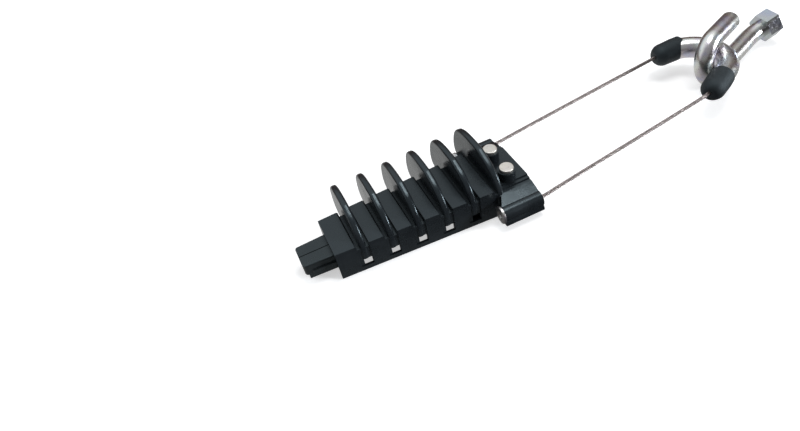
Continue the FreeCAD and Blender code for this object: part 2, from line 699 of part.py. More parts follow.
def hook_nut():
    """Hexagon welded to the shank's end, one flat down, threaded from the outer face."""
    _, start, axis = hook_layout()
    corner = NUT_FLATS / math.sqrt(3)
    points = [V(0, corner * math.cos(math.radians(60 * i)), corner * math.sin(math.radians(60 * i)))
              for i in range(6)]
    solid = face_of(points).extrude(V(NUT_LENGTH, 0, 0))
    cone = Part.makeCone(NUT_FLATS / 2, NUT_FLATS / 2 + NUT_LENGTH * 1.7, NUT_LENGTH + 2 * PAST,
                         V(-PAST, 0, 0), V(1, 0, 0))
    straight = Part.makeCylinder(corner + PAST, NUT_LENGTH, V(NUT_CHAMFER, 0, 0), V(1, 0, 0))
    solid = solid.common(cone.fuse(straight))
    solid = solid.cut(Part.makeCylinder(NUT_HOLE_DIA / 2, NUT_LENGTH + 2 * PAST, V(-PAST, 0, 0), V(1, 0, 0)))
    side = V(0, 0, 1).cross(axis).normalize()
    spin = FreeCAD.Rotation(axis, side, axis.cross(side), "XYZ")
    solid.Placement = FreeCAD.Placement(start, spin)
    return solid


def main():
    os.makedirs("parts", exist_ok=True)
    far_jaw, near_jaw = both_sides(jaw())
    far_pin, near_pin = both_sides(pin())
    far_ferrule, near_ferrule = both_sides(ferrule())
    near_boot, far_boot = boots()
    pieces = {
        "housing": housing(),
        "jaw_near": near_jaw,
        "jaw_far": far_jaw,
        "keeper_plate": keeper_plate(),
        "pin_near": near_pin,
        "pin_far": far_pin,
        "ferrule_near": near_ferrule,
        "ferrule_far": far_ferrule,
        "bail_rope": rope(),
        "thimble_tube": thimble_tube(),
        "boot_near": near_boot,
        "boot_far": far_boot,
        "hook": hook(),
        "hook_nut": hook_nut(),
    }
    for name, shape in pieces.items():
        save(shape, name)
        extent = shape.BoundBox
        print(name, "valid", shape.isValid(), "solids", len(shape.Solids), "volume", round(shape.Volume, 1),
              "z", round(extent.ZMin, 2), round(extent.ZMax, 2))
    _, nut_start, axis = hook_layout()
    print("nut face", nut_start + axis * NUT_LENGTH, "axis", axis, "bail rises", round(BAIL_PITCH, 2), "degrees")
    print("rope bend radii", EXIT_BEND, MOUTH_BEND, EYE_RADIUS, "length", round(rope_path().Length, 1))


main()
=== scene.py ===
import bmesh
import bpy
import json
import math
from mathutils import Matrix, Quaternion, Vector

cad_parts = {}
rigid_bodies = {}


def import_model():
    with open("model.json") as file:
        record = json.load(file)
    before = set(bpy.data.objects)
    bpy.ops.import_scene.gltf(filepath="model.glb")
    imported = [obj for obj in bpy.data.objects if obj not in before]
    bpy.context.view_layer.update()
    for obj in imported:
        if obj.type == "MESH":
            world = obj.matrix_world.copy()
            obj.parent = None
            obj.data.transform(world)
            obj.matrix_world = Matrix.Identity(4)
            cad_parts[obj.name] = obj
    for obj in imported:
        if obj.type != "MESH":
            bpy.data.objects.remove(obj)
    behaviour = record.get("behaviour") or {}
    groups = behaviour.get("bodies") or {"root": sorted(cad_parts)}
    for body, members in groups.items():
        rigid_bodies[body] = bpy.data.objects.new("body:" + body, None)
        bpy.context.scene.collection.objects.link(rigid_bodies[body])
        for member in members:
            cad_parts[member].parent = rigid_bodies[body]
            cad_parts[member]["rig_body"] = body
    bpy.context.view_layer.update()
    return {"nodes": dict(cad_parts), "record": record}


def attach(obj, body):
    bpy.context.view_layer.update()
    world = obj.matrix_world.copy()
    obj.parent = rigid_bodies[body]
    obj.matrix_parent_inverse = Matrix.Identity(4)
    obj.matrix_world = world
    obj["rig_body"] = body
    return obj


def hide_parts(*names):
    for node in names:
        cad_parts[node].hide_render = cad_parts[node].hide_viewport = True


# Dressed model of an insulated strain clamp: a ribbed black body with wedge jaws,
# a wire-rope bail, a bent steel thimble tube in two rubber boots, and a plated hook.
# Lengths are in metres, in the frame of the solids. Angles are in degrees, except
# where a comment says radians.

MM = 0.001
WHITE = (1, 1, 1, 1)

# Camera at the angle of the photograph
CAMERA_PLACE = Vector((1.804, -360.007, 390.494)) * MM
CAMERA_AZIMUTH = -14.27
CAMERA_ELEVATION = 45.99
CAMERA_ROLL = -13.24
CAMERA_LENS = 27.9
CAMERA_SENSOR = 36.0
CAMERA_NEAREST = 0.01
CAMERA_FURTHEST = 20.0

# The surface that the clamp lies on
FLOOR_Z = -14.0 * MM
FLOOR_GAP = 0.2 * MM
FLOOR_HALF = 3.0
FLOOR_PAINT = (0.80, 0.80, 0.80, 1)
FLOOR_ROUGHNESS = 0.9
FLOOR_GLOW = 0.5

# Painted reflection of that surface in the clamp's shiny parts, from the front to the back: a glow
# that only shiny parts see, with painted shadow near the front
FLOOR_NEAR_Y = -100.0 * MM
FLOOR_FAR_Y = 400.0 * MM
FLOOR_PAINTED_REFLECTION = [
    (0.10, (0.03, 0.03, 0.03, 1)), (0.29, (0.74, 0.74, 0.73, 1)), (0.44, (0.74, 0.74, 0.73, 1)),
    (0.70, (0.22, 0.17, 0.15, 1)), (1.0, (0.12, 0.09, 0.08, 1)),
]

# The room round the clamp: dark and brown low down, pale high up, dimmer at the front
SKY_SHADES = [
    (0.0, (0.13, 0.095, 0.085, 1)), (0.37, (0.19, 0.145, 0.13, 1)), (0.47, (0.72, 0.72, 0.72, 1)),
    (0.60, (0.84, 0.87, 0.89, 1)), (0.90, (1.05, 1.08, 1.1, 1)), (1.0, (0.90, 0.95, 1.0, 1)),
]
SKY_LEAN = 0.35
SKY_FRONT_Y = -0.15
SKY_BACK_Y = 0.25
SKY_FRONT_STRENGTH = 0.30
SKY_BACK_STRENGTH = 1.0

# Soft lamp above the clamp
KEY_PLACE = Vector((0.45, 0.1, 1.4))
KEY_AIM = Vector((0.2, 0, 0))
KEY_WIDTH = 0.6
KEY_DEPTH = 0.4
KEY_POWER = 7.0

# Distant window low beside the clamp
WINDOW_WAY = Vector((0.79, -0.54, 0.28))
WINDOW_SOFTNESS = 14.0
WINDOW_STRENGTH = 3.0
WINDOW_COLOUR = (0.93, 0.96, 1.0)

# The rope's route, as the solids have it
ROPE_START_X = 168.97 * MM
TAIL_END_X = 206.97 * MM
ROPE_SPREAD = 41.0 * MM
ROPE_RADIUS = 1.75 * MM
EYE_CENTRE = (207.85 * MM, 21.95 * MM)
EYE_RADIUS = 32.6 * MM
EYE_STEPS = 5
NEAR_HEADING = 26.91
FAR_HEADING = -3.33
NEAR_STRAIGHT = 35.6 * MM
FAR_STRAIGHT = 15.66 * MM
BEND_REACH = 20.0 * MM
BAIL_ROLL = -3.6
BAIL_PITCH = 3.796
ROUTE_ORDER = 3
ROUTE_FINENESS = 24

# How the rope is laid: six strands round one, each with its own fine wires
ROPE_LAY = 26.0 * MM
STRAND_COUNT = 6
STRAND_RADIUS = ROPE_RADIUS * 0.31
STRAND_SIDES = 8
STRAND_STEP = 1.3 * MM
CORE_RADIUS = STRAND_RADIUS * 1.15
CORE_STEP = 4.0 * MM
WIRE_LAY = 9.0 * MM
WIRES_IN_STRAND = 6

# Thread in the hook's hexagon
THREAD_PITCH = 2.0 * MM
THREAD_DEPTH = 0.9 * MM
THREAD_STEPS = 40
RIDGE_SIDES = 4

# How the solids' meshes are cleaned and their corners rounded
WELD_DISTANCE = 0.002 * MM
FLAT_WITHIN = 0.5
CORNER_ANGLE = 32.0
CORNER_SEGMENTS = 2

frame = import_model()
nodes = frame["nodes"]
scene = bpy.context.scene


# Small helpers

def body_name(node):
    return nodes[node]["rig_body"]


def new_object(name, data):
    piece = bpy.data.objects.new(name, data)
    scene.collection.objects.link(piece)
    return piece


def baked(piece, name):
    """The piece with its modifiers made real, as a new plain mesh in place of the old one."""
    bpy.context.view_layer.update()
    view = bpy.context.evaluated_depsgraph_get()
    mesh = bpy.data.meshes.new_from_object(piece.evaluated_get(view), depsgraph=view)
    mesh.name = name
    bpy.data.objects.remove(piece)
    return new_object(name, mesh)


def give_finish(piece, material):
    piece.data.materials.clear()
    piece.data.materials.append(material)


def fit_out(piece, node, material):
    """Give the piece its finish, and let it stand for its solid and move with it."""
    give_finish(piece, material)
    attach(piece, body_name(node))
    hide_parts(node)


# Node trees

class Sheet:
    """Lays out nodes and their links in one tree."""

    # Places of the mix node's sockets for colours
    MIX_SHARE = 0
    MIX_FIRST = 6
    MIX_SECOND = 7
    MIX_RESULT = 2

    def __init__(self, tree):
        self.tree = tree

    def add(self, kind, **values):
        node = self.tree.nodes.new(kind)
        for key, value in values.items():
            setattr(node, key, value)
        return node

    def feed(self, value, socket):
        """Link the value to the socket, or set the socket where the value is a plain one."""
        if isinstance(value, bpy.types.NodeSocket):
            self.tree.links.new(value, socket)
        else:
            socket.default_value = value

    def place(self, kind):
        return self.add("ShaderNodeTexCoord").outputs[kind]

    def split(self, vector):
        node = self.add("ShaderNodeSeparateXYZ")
        self.feed(vector, node.inputs["Vector"])
        return node.outputs

    def noise(self, vector, scale, detail=4.0, rough=0.5):
        node = self.add("ShaderNodeTexNoise")
        self.feed(vector, node.inputs["Vector"])
        self.feed(scale, node.inputs["Scale"])
        self.feed(detail, node.inputs["Detail"])
        self.feed(rough, node.inputs["Roughness"])
        return node.outputs["Fac"]

    def remap(self, value, low, high, to_low=0.0, to_high=1.0):
        node = self.add("ShaderNodeMapRange")
        self.feed(value, node.inputs["Value"])
        self.feed(low, node.inputs["From Min"])
        self.feed(high, node.inputs["From Max"])
        self.feed(to_low, node.inputs["To Min"])
        self.feed(to_high, node.inputs["To Max"])
        return node.outputs["Result"]

    def maths(self, operation, *values):
        node = self.add("ShaderNodeMath", operation=operation)
        for socket, value in zip(node.inputs, values):
            self.feed(value, socket)
        return node.outputs["Value"]

    def vector_maths(self, operation, *values):
        node = self.add("ShaderNodeVectorMath", operation=operation)
        for socket, value in zip(node.inputs, values):
            self.feed(value, socket)
        return node.outputs["Vector"]

    def mix(self, share, first, second):
        node = self.add("ShaderNodeMix", data_type="RGBA")
        self.feed(share, node.inputs[self.MIX_SHARE])
        self.feed(first, node.inputs[self.MIX_FIRST])
        self.feed(second, node.inputs[self.MIX_SECOND])
        return node.outputs[self.MIX_RESULT]

    def ramp(self, value, stops):
        node = self.add("ShaderNodeValToRGB")
        elements = node.color_ramp.elements
        while len(elements) < len(stops):
            elements.new(0.5)
        for element, (position, colour) in zip(elements, stops):
            element.position = position
            element.color = colour
        self.feed(value, node.inputs["Fac"])
        return node.outputs["Color"]

    def either_shader(self, choice, first, second, target):
        """Show the second shader where the choice is one, and the first where it is nought."""
        node = self.add("ShaderNodeMixShader")
        for socket, value in zip(node.inputs, (choice, first, second)):
            self.feed(value, socket)
        self.feed(node.outputs["Shader"], target)

    def stored(self, geometry, name, data_type, value):
        """Keep a value on each point of the geometry under a name."""
        node = self.add("GeometryNodeStoreNamedAttribute", data_type=data_type, domain="POINT")
        self.feed(geometry, node.inputs["Geometry"])
        self.feed(name, node.inputs["Name"])
        self.feed(value, node.inputs["Value"])
        return node.outputs["Geometry"]

    def circle(self, sides, radius):
        node = self.add("GeometryNodeCurvePrimitiveCircle")
        self.feed(sides, node.inputs["Resolution"])
        self.feed(radius, node.inputs["Radius"])
        return node.outputs["Curve"]

    def tube(self, curve, profile):
        node = self.add("GeometryNodeCurveToMesh")
        self.feed(curve, node.inputs["Curve"])
        self.feed(profile, node.inputs["Profile Curve"])
        self.feed(True, node.inputs["Fill Caps"])
        return node.outputs["Mesh"]


def surface_group(name, inputs):
    """An empty shader group that gives a colour, a roughness and a height at a place."""
    tree = bpy.data.node_groups.new(name, "ShaderNodeTree")
    tree.interface.new_socket("Vector", in_out="INPUT", socket_type="NodeSocketVector")
    for label, value in inputs.items():
        kind = "NodeSocketColor" if isinstance(value, tuple) else "NodeSocketFloat"
        socket = tree.interface.new_socket(label, in_out="INPUT", socket_type=kind)
        socket.default_value = value
    tree.interface.new_socket("Color", in_out="OUTPUT", socket_type="NodeSocketColor")
    tree.interface.new_socket("Roughness", in_out="OUTPUT", socket_type="NodeSocketFloat")
    tree.interface.new_socket("Height", in_out="OUTPUT", socket_type="NodeSocketFloat")
    sheet = Sheet(tree)
    given = sheet.add("NodeGroupInput").outputs
    wanted = sheet.add("NodeGroupOutput").inputs
    return tree, sheet, given, wanted


def roughness_between(sheet, given, share):
    """Roughness that goes from the low value to the high one with the share."""
    span = sheet.maths("SUBTRACT", given["Rough High"], given["Rough Low"])
    return sheet.maths("ADD", sheet.maths("MULTIPLY", share, span), given["Rough Low"])


def moulded_surface():
    """Moulded plastic or rubber: cloudy sheen, fine mould grain, and a few pale scuffs."""
    tree, sheet, given, wanted = surface_group("Moulded surface", {
        "Dark": (0.01, 0.011, 0.012, 1), "Light": (0.03, 0.032, 0.034, 1),
        "Rough Low": 0.3, "Rough High": 0.45, "Grain": 1.0, "Scuffs": 0.5})
    scuff_colour = (0.12, 0.125, 0.13, 1.0)
    scuff_stretch = (90.0, 900.0, 500.0)
    # Radians
    scuff_slant = (0.3, 0.2, 0.5)
    scuff_depth = 0.2
    grain_depth = 0.35
    wave_depth = 0.8
    vector = given["Vector"]
    cloud = sheet.noise(vector, scale=38.0, detail=5.0, rough=0.6)
    grain = sheet.noise(vector, scale=2600.0, detail=3.0, rough=0.6)
    waves = sheet.noise(vector, scale=120.0, detail=2.0)
    stretch = sheet.add("ShaderNodeMapping")
    sheet.feed(vector, stretch.inputs["Vector"])
    sheet.feed(scuff_stretch, stretch.inputs["Scale"])
    sheet.feed(scuff_slant, stretch.inputs["Rotation"])
    scratch = sheet.noise(stretch.outputs["Vector"], scale=1.0, detail=5.0, rough=0.65)
    scuff = sheet.remap(scratch, low=0.63, high=0.72)
    patch = sheet.remap(cloud, low=0.5, high=0.68)
    worn = sheet.maths("MULTIPLY", sheet.maths("MULTIPLY", scuff, patch), given["Scuffs"])
    shade = sheet.remap(cloud, low=0.35, high=0.7)
    plain = sheet.mix(shade, given["Dark"], given["Light"])
    sheet.feed(sheet.mix(worn, plain, scuff_colour), wanted["Color"])
    scuffing = sheet.maths("MULTIPLY", worn, scuff_depth)
    rough = roughness_between(sheet, given, shade)
    sheet.feed(sheet.maths("ADD", rough, scuffing), wanted["Roughness"])
    fine = sheet.maths("MULTIPLY", grain, sheet.maths("MULTIPLY", given["Grain"], grain_depth))
    broad = sheet.maths("MULTIPLY", waves, wave_depth)
    height = sheet.maths("ADD", fine, broad)
    sheet.feed(sheet.maths("SUBTRACT", height, scuffing), wanted["Height"])
    return tree


def plated_surface():
    """Bright zinc plate: drifting blue, straw and violet tints, dull spots and shallow pits."""
    tree, sheet, given, wanted = surface_group("Plated surface", {
        "Tint": 1.0, "Base": (0.68, 0.69, 0.70, 1), "Rough Low": 0.14, "Rough High": 0.34})
    tints = [
        (0.30, (0.55, 0.60, 0.72, 1)), (0.42, (0.66, 0.68, 0.70, 1)), (0.50, (0.74, 0.70, 0.60, 1)),
        (0.57, (0.70, 0.58, 0.60, 1)), (0.64, (0.56, 0.50, 0.68, 1)), (0.74, (0.60, 0.68, 0.70, 1)),
    ]
    spot_colour = (0.42, 0.40, 0.38, 1.0)
    spot_share = 0.45
    spot_dulling = 0.15
    spot_depth = 0.3
    vector = given["Vector"]
    drift = sheet.noise(vector, scale=55.0, detail=2.0)
    plate = sheet.mix(given["Tint"], given["Base"], sheet.ramp(drift, tints))
    spots = sheet.remap(sheet.noise(vector, scale=420.0, rough=0.6), low=0.56, high=0.70)
    spotted = sheet.mix(sheet.maths("MULTIPLY", spots, spot_share), plate, spot_colour)
    sheet.feed(spotted, wanted["Color"])
    cloud = sheet.remap(sheet.noise(vector, scale=90.0, rough=0.6), low=0.3, high=0.7)
    rough = roughness_between(sheet, given, cloud)
    dulled = sheet.maths("MULTIPLY", spots, spot_dulling)
    sheet.feed(sheet.maths("ADD", rough, dulled), wanted["Roughness"])
    ripple = sheet.noise(vector, scale=240.0, detail=3.0)
    pits = sheet.maths("MULTIPLY", spots, spot_depth)
    sheet.feed(sheet.maths("SUBTRACT", ripple, pits), wanted["Height"])
    return tree


# Materials

MOULDED = moulded_surface()
PLATED = plated_surface()
COOL_GLOSS = (0.74, 0.92, 1.0, 1.0)
SKIN_RELIEF = 0.4 * MM
RUBBER_RELIEF = 1.2 * MM
WIRE_RELIEF = 0.15 * MM


def new_material(name, metallic):
    """A material with one principled shader, the sheet for its other nodes, and its sockets."""
    material = bpy.data.materials.new(name)
    material.use_nodes = True
    shader = material.node_tree.nodes["Principled BSDF"].inputs
    shader["Metallic"].default_value = metallic
    return material, Sheet(material.node_tree), shader


def emboss(sheet, shader, height, strength, distance):
    relief = sheet.add("ShaderNodeBump")
    sheet.feed(strength, relief.inputs["Strength"])
    sheet.feed(distance, relief.inputs["Distance"])
    sheet.feed(height, relief.inputs["Height"])
    sheet.feed(relief.outputs["Normal"], shader["Normal"])


def finish(name, surface, settings, metallic, gloss_tint, bump, distance):
    """A material with one principled shader fed by a surface group on object coordinates."""
    material, sheet, shader = new_material(name, metallic)
    sheet.feed(gloss_tint, shader["Specular Tint"])
    skin = sheet.add("ShaderNodeGroup")
    skin.node_tree = surface
    sheet.feed(sheet.place("Object"), skin.inputs["Vector"])
    for label, value in settings.items():
        sheet.feed(value, skin.inputs[label])
    sheet.feed(skin.outputs["Color"], shader["Base Color"])
    sheet.feed(skin.outputs["Roughness"], shader["Roughness"])
    emboss(sheet, shader, skin.outputs["Height"], bump, distance)
    return material


def moulded(name, settings, bump, distance=SKIN_RELIEF):
    return finish(name, MOULDED, settings, 0.0, COOL_GLOSS, bump, distance)


def plated(name, settings, bump):
    return finish(name, PLATED, settings, 1.0, WHITE, bump, SKIN_RELIEF)


BODY_PLASTIC = moulded("Body plastic", {
    "Dark": (0.008, 0.010, 0.012, 1), "Light": (0.014, 0.017, 0.020, 1),
    "Rough Low": 0.22, "Rough High": 0.34, "Grain": 1.0, "Scuffs": 0.35}, bump=0.25)
JAW_PLASTIC = moulded("Jaw plastic", {
    "Dark": (0.009, 0.011, 0.012, 1), "Light": (0.015, 0.018, 0.019, 1),
    "Rough Low": 0.20, "Rough High": 0.32, "Grain": 0.7, "Scuffs": 0.4}, bump=0.22)
BOOT_RUBBER = moulded("Boot rubber", {
    "Dark": (0.009, 0.011, 0.013, 1), "Light": (0.017, 0.020, 0.023, 1),
    "Rough Low": 0.50, "Rough High": 0.64, "Grain": 1.4, "Scuffs": 0.5},
    bump=0.5, distance=RUBBER_RELIEF)
ZINC = plated("Zinc plate", {
    "Tint": 0.65, "Base": (0.62, 0.72, 0.78, 1), "Rough Low": 0.22, "Rough High": 0.32}, bump=0.03)
# Darker copy of the zinc plate: painted shade that dims the nut and its thread
NUT_ZINC_PAINTED_SHADE = plated("Nut zinc plate, painted shade", {
    "Tint": 0.35, "Base": (0.38, 0.46, 0.51, 1), "Rough Low": 0.13, "Rough High": 0.24}, bump=0.15)
PIN_STEEL = plated("Pin steel", {
    "Tint": 0.1, "Base": (0.72, 0.70, 0.65, 1), "Rough Low": 0.34, "Rough High": 0.50}, bump=0.5)
FERRULE_METAL = plated("Ferrule metal", {
    "Tint": 0.30, "Rough Low": 0.24, "Rough High": 0.40}, bump=0.4)


def rope_steel():
    """Drawn steel wire with a warm cast, its fine wires showing as slanted ridges on each strand,
    with painted shade in the grooves between them.
    """
    material, sheet, shader = new_material("Rope steel", metallic=0.8)
    dark_steel = (0.34, 0.29, 0.28, 1.0)
    bright_steel = (0.72, 0.66, 0.64, 1.0)
    painted_shade_between_wires = (0.07, 0.05, 0.045, 1.0)
    ring = sheet.add("ShaderNodeAttribute", attribute_name="ring")
    run = sheet.add("ShaderNodeAttribute", attribute_name="run")
    across = sheet.split(ring.outputs["Vector"])
    around = sheet.maths("ARCTAN2", across["Y"], across["X"])
    twist = sheet.maths("MULTIPLY", run.outputs["Fac"], 2 * math.pi / WIRE_LAY)
    phase = sheet.maths("SUBTRACT", sheet.maths("MULTIPLY", around, WIRES_IN_STRAND), twist)
    wires = sheet.remap(sheet.maths("SINE", phase), low=-1.0, high=0.4)
    cloud = sheet.noise(sheet.place("Object"), scale=900.0, rough=0.6)
    steel = sheet.mix(sheet.remap(cloud, low=0.3, high=0.7), dark_steel, bright_steel)
    # Painted shade darkens the grooves between the wires
    sheet.feed(sheet.mix(wires, painted_shade_between_wires, steel), shader["Base Color"])
    rough = sheet.remap(cloud, low=0.3, high=0.7, to_low=0.26, to_high=0.44)
    sheet.feed(rough, shader["Roughness"])
    emboss(sheet, shader, wires, strength=0.6, distance=WIRE_RELIEF)
    return material


ROPE_STEEL = rope_steel()


# Pieces taken from the solids, with their sharp corners eased

def eased(node, width):
    """A copy of a solid's mesh with its hard corners rounded by a small bevel."""
    mesh = nodes[node].data.copy()
    work = bmesh.new()
    work.from_mesh(mesh)
    bmesh.ops.remove_doubles(work, verts=work.verts, dist=WELD_DISTANCE)
    bmesh.ops.dissolve_limit(work, angle_limit=math.radians(FLAT_WITHIN), verts=work.verts,
                             edges=work.edges)
    work.to_mesh(mesh)
    work.free()
    for name in ("sharp_edge", "sharp_face", "custom_normal"):
        if name in mesh.attributes:
            mesh.attributes.remove(mesh.attributes[name])
    mesh.shade_smooth()
    mesh.set_sharp_from_angle(angle=math.radians(CORNER_ANGLE))
    piece = new_object("draft_" + node, mesh)
    if width > 0:
        bevel = piece.modifiers.new("ease", "BEVEL")
        bevel.width = width
        bevel.segments = CORNER_SEGMENTS
        bevel.limit_method = "ANGLE"
        bevel.angle_limit = math.radians(CORNER_ANGLE)
        bevel.miter_outer = "MITER_ARC"
        bevel.use_clamp_overlap = True
        bevel.harden_normals = True
        flat = piece.modifiers.new("flat faces", "WEIGHTED_NORMAL")
        flat.keep_sharp = True
    return baked(piece, node + "_dressed")


# Width of the eased corners and finish of each piece
EASED = {
    "housing": (0.30 * MM, BODY_PLASTIC),
    "keeper_plate": (0.30 * MM, BODY_PLASTIC),
    "jaw_near": (0.25 * MM, JAW_PLASTIC),
    "jaw_far": (0.25 * MM, JAW_PLASTIC),
    "pin_near": (0.1 * MM, PIN_STEEL),
    "pin_far": (0.1 * MM, PIN_STEEL),
    "ferrule_near": (0.15 * MM, FERRULE_METAL),
    "ferrule_far": (0.15 * MM, FERRULE_METAL),
    "thimble_tube": (0.0, ZINC),
    "boot_near": (0.0, BOOT_RUBBER),
    "boot_far": (0.0, BOOT_RUBBER),
    "hook": (0.0, ZINC),
    "hook_nut": (0.45 * MM, NUT_ZINC_PAINTED_SHADE),
}

for node_name, (ease_width, skin_material) in EASED.items():
    fit_out(eased(node_name, ease_width), node_name, skin_material)


# Wire rope

def on_bail(flat):
    """A point of the bail's own plane, in the frame of the solids."""
    pitch = Quaternion(Vector((0, 1, 0)), -math.radians(BAIL_PITCH))
    roll = Quaternion(Vector((1, 0, 0)), math.radians(BAIL_ROLL))
    return Vector((TAIL_END_X, 0, 0)) + pitch @ roll @ Vector((flat[0], flat[1], 0))


def heading(angle):
    turn = math.radians(angle)
    return Vector((math.cos(turn), math.sin(turn)))


def rope_leg(side, mouth, towards):
    """Points of one leg, from its ferrule to a little way into the eye."""
    tail_exit = Vector((TAIL_END_X, side * ROPE_SPREAD, 0))
    way = (mouth - tail_exit).normalized()
    inward = (towards - mouth).normalized()
    return [
        Vector((ROPE_START_X, side * ROPE_SPREAD, 0)),
        tail_exit - Vector((BEND_REACH / 2, 0, 0)),
        tail_exit + Vector((BEND_REACH / 4, 0, 0)),
        tail_exit + way * BEND_REACH,
        mouth - way * BEND_REACH / 2,
        mouth + inward * BEND_REACH / 8,
        mouth + inward * BEND_REACH,
    ]


def rope_route():
    """Control points of the rope's smooth line, from one ferrule to the other."""
    centre = Vector(EYE_CENTRE)
    start = NEAR_HEADING - 90
    end = FAR_HEADING + 90
    near = on_bail(centre + heading(start) * EYE_RADIUS - heading(NEAR_HEADING) * NEAR_STRAIGHT)
    far = on_bail(centre + heading(end) * EYE_RADIUS - heading(FAR_HEADING) * FAR_STRAIGHT)
    turn = (end - start) / EYE_STEPS
    outside = EYE_RADIUS / math.cos(math.radians(turn / 2))
    eye = []
    for step in range(EYE_STEPS):
        eye.append(on_bail(centre + heading(start + turn * (step + 0.5)) * outside))
    return rope_leg(-1, near, eye[0]) + eye + rope_leg(1, far, eye[-1])[::-1]


def smooth_curve(name, points):
    curve = bpy.data.curves.new(name, "CURVE")
    curve.dimensions = "3D"
    spline = curve.splines.new("NURBS")
    spline.points.add(len(points) - 1)
    for place, point in zip(spline.points, points):
        place.co = (*point, 1.0)
    spline.order_u = ROUTE_ORDER
    spline.use_endpoint_u = True
    spline.resolution_u = ROUTE_FINENESS
    return new_object(name, curve)


def geometry_tree(name, inputs):
    """An empty geometry tree with named inputs, its sheet, and what it is given and must give."""
    tree = bpy.data.node_groups.new(name, "GeometryNodeTree")
    tree.interface.new_socket("Geometry", in_out="INPUT", socket_type="NodeSocketGeometry")
    for label, kind in inputs.items():
        tree.interface.new_socket(label, in_out="INPUT", socket_type=kind)
    tree.interface.new_socket("Geometry", in_out="OUTPUT", socket_type="NodeSocketGeometry")
    sheet = Sheet(tree)
    given = sheet.add("NodeGroupInput").outputs
    wanted = sheet.add("NodeGroupOutput").inputs
    return tree, sheet, given, wanted


def end_geometry(sheet, geometry, material, target):
    """End a geometry tree with real geometry and its material."""
    real = sheet.add("GeometryNodeRealizeInstances")
    sheet.feed(geometry, real.inputs["Geometry"])
    skin = sheet.add("GeometryNodeSetMaterial")
    sheet.feed(real.outputs["Geometry"], skin.inputs["Geometry"])
    sheet.feed(material, skin.inputs["Material"])
    sheet.feed(skin.outputs["Geometry"], target)


def strands_tree():
    """Strands wound round the route, each a thin tube at a given radius and lay."""
    tree, sheet, given, wanted = geometry_tree("Rope strands", {
        "Strands": "NodeSocketInt", "Lay": "NodeSocketFloat", "Circle Radius": "NodeSocketFloat",
        "Strand Radius": "NodeSocketFloat", "Step": "NodeSocketFloat"})
    even = sheet.add("GeometryNodeResampleCurve", mode="LENGTH")
    sheet.feed(given["Geometry"], even.inputs["Curve"])
    sheet.feed(given["Step"], even.inputs["Length"])
    run = sheet.add("GeometryNodeSplineParameter").outputs["Length"]
    line = sheet.add("GeometryNodeDuplicateElements", domain="SPLINE")
    sheet.feed(sheet.stored(even.outputs["Curve"], "run", "FLOAT", run), line.inputs["Geometry"])
    sheet.feed(given["Strands"], line.inputs["Amount"])
    share = sheet.maths("DIVIDE", line.outputs["Duplicate Index"], given["Strands"])
    turns = sheet.maths("ADD", sheet.maths("DIVIDE", run, given["Lay"]), share)
    angle = sheet.maths("MULTIPLY", turns, 2 * math.pi)
    normal = sheet.add("GeometryNodeInputNormal").outputs["Normal"]
    tangent = sheet.add("GeometryNodeInputTangent").outputs["Tangent"]
    side = sheet.vector_maths("CROSS_PRODUCT", tangent, normal)
    reach = []
    for operation, direction in (("COSINE", normal), ("SINE", side)):
        size = sheet.maths("MULTIPLY", sheet.maths(operation, angle), given["Circle Radius"])
        scaled = sheet.add("ShaderNodeVectorMath", operation="SCALE")
        sheet.feed(direction, scaled.inputs["Vector"])
        sheet.feed(size, scaled.inputs["Scale"])
        reach.append(scaled.outputs["Vector"])
    wound = sheet.add("GeometryNodeSetPosition")
    sheet.feed(line.outputs["Geometry"], wound.inputs["Geometry"])
    sheet.feed(sheet.vector_maths("ADD", *reach), wound.inputs["Offset"])
    ring = sheet.circle(STRAND_SIDES, given["Strand Radius"])
    on_ring = sheet.add("GeometryNodeInputPosition").outputs["Position"]
    profile = sheet.stored(ring, "ring", "FLOAT_VECTOR", on_ring)
    strands = sheet.tube(wound.outputs["Geometry"], profile)
    end_geometry(sheet, strands, ROPE_STEEL, wanted["Geometry"])
    return tree


def grown(piece, name, tree, values):
    """The piece with a geometry tree run on it and made real."""
    modifier = piece.modifiers.new(tree.name, "NODES")
    modifier.node_group = tree
    for item in tree.interface.items_tree:
        if item.item_type == "SOCKET" and item.in_out == "INPUT" and item.name in values:
            modifier[item.identifier] = values[item.name]
    return baked(piece, name)


def wire_rope():
    """Six strands round a core strand along the whole route."""
    tree = strands_tree()
    layers = [
        {"Strands": STRAND_COUNT, "Lay": ROPE_LAY, "Circle Radius": ROPE_RADIUS - STRAND_RADIUS,
         "Strand Radius": STRAND_RADIUS, "Step": STRAND_STEP},
        {"Strands": 1, "Lay": ROPE_LAY, "Circle Radius": 0.0,
         "Strand Radius": CORE_RADIUS, "Step": CORE_STEP},
    ]
    work = bmesh.new()
    for values in layers:
        layer = grown(smooth_curve("rope_line", rope_route()), "rope_layer", tree, values)
        work.from_mesh(layer.data)
        bpy.data.objects.remove(layer)
    mesh = bpy.data.meshes.new("bail_rope_wound")
    work.to_mesh(mesh)
    work.free()
    mesh.shade_smooth()
    fit_out(new_object("bail_rope_wound", mesh), "bail_rope", ROPE_STEEL)


wire_rope()


# Thread in the hook's hexagon

